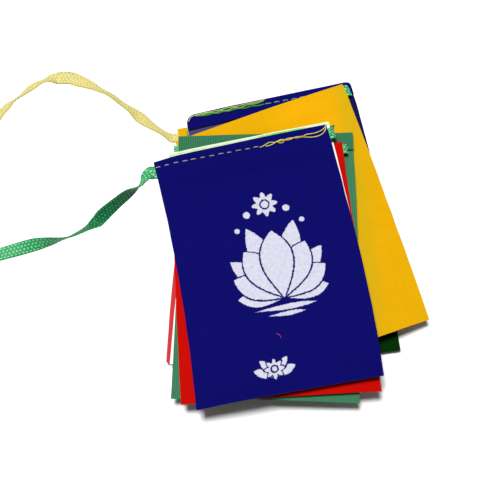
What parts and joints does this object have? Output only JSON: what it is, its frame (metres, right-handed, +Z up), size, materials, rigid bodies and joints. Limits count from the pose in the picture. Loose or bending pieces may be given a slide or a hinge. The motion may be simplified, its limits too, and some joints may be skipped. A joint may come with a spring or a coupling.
{
  "type": "tibetan prayer flag string",
  "caption": "String of small rectangular prayer flags on a woven ribbon, folded back and forth into a loose stack with both ribbon ends free.",
  "frame": {"origin": "on the surface it lies on, under the middle of the stack of flags", "axes": "+Y from the flags' lower edges towards their hems, +X to the right as the top flag is read, +Z up through the stack"},
  "size_m": [0.1647, 0.1256, 0.0172],
  "materials": {
    "blue": "matte woven cloth",
    "white": "matte woven cloth",
    "red": "matte woven cloth",
    "green": "matte ribbed cloth",
    "yellow": "matte woven cloth",
    "dark_green": "matte woven cloth",
    "mint": "soft sheen woven ribbon",
    "lime": "soft sheen woven ribbon",
    "gold": "soft sheen woven ribbon"
  },
  "bodies": {
    "root": {"flag_01_blue": "blue", "flag_02_white": "white", "flag_03_red": "red", "flag_04_green": "green", "flag_05_yellow": "yellow", "flag_06_blue": "blue", "flag_07_white": "white", "flag_08_red": "red", "flag_09_dark_green": "dark_green", "flag_10_yellow": "yellow", "ribbon_fold_01_02": "mint", "ribbon_fold_02_03": "mint", "ribbon_fold_03_04": "mint", "ribbon_fold_04_05": "mint", "ribbon_fold_05_06": "mint", "ribbon_fold_06_07": "lime", "ribbon_fold_07_08": "lime", "ribbon_fold_08_09": "lime", "ribbon_fold_09_10": "lime", "ribbon_tail_green": "mint", "ribbon_tail_yellow": "gold"}
  },
  "joints": []
}
